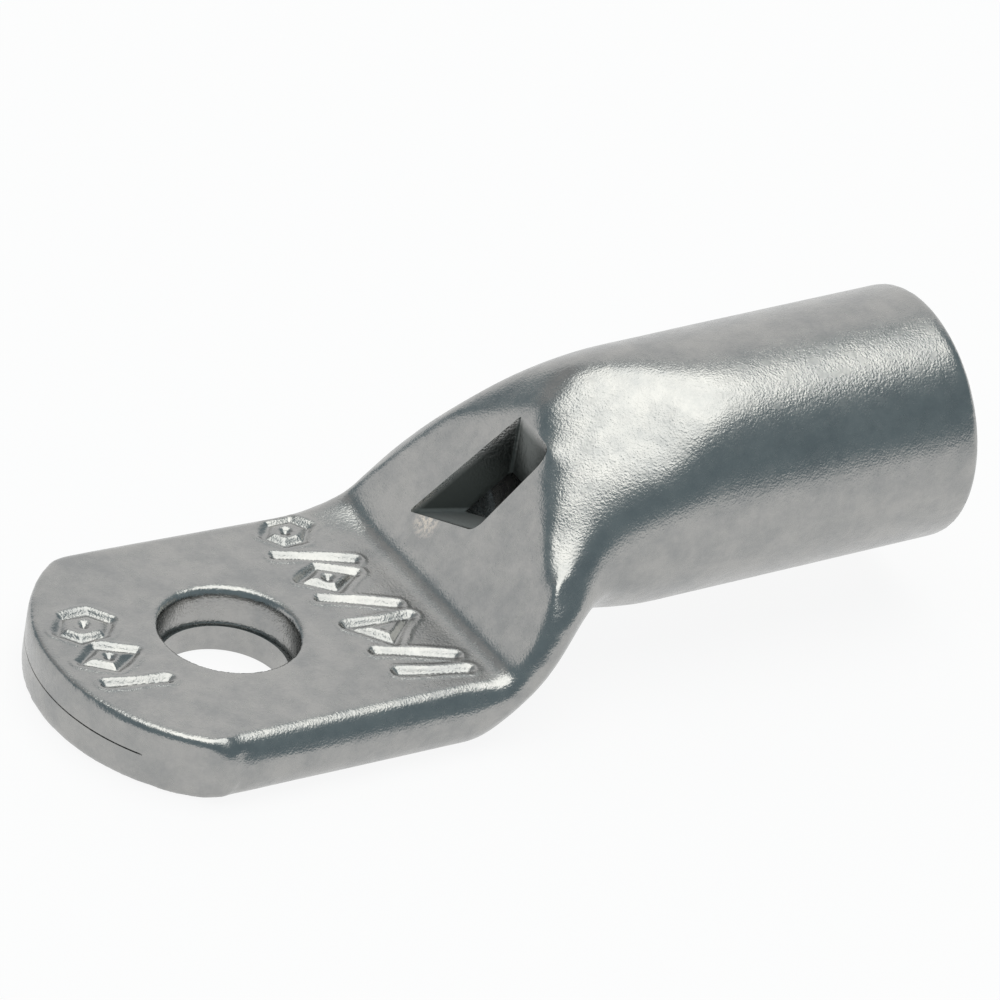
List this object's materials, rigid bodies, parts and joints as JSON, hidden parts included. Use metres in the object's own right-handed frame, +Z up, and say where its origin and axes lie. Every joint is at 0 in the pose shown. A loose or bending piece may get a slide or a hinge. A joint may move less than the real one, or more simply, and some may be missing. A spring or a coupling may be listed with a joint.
{
  "type": "cable lug",
  "caption": "Tubular cable lug with a round barrel for the conductor, a flattened palm with a stud hole and a small inspection window in the slope between them.",
  "frame": {"origin": "centre of the stud hole at the palm's flat underside", "axes": "+X from the stud hole towards the open end of the barrel, +Z up through the stud hole, square to the palm"},
  "size_m": [0.0451, 0.0168, 0.0141],
  "materials": {
    "tinned_copper": "satin tin plate with a fine tumbled grain"
  },
  "bodies": {
    "root": {"cable_lug": "tinned_copper"}
  },
  "joints": []
}
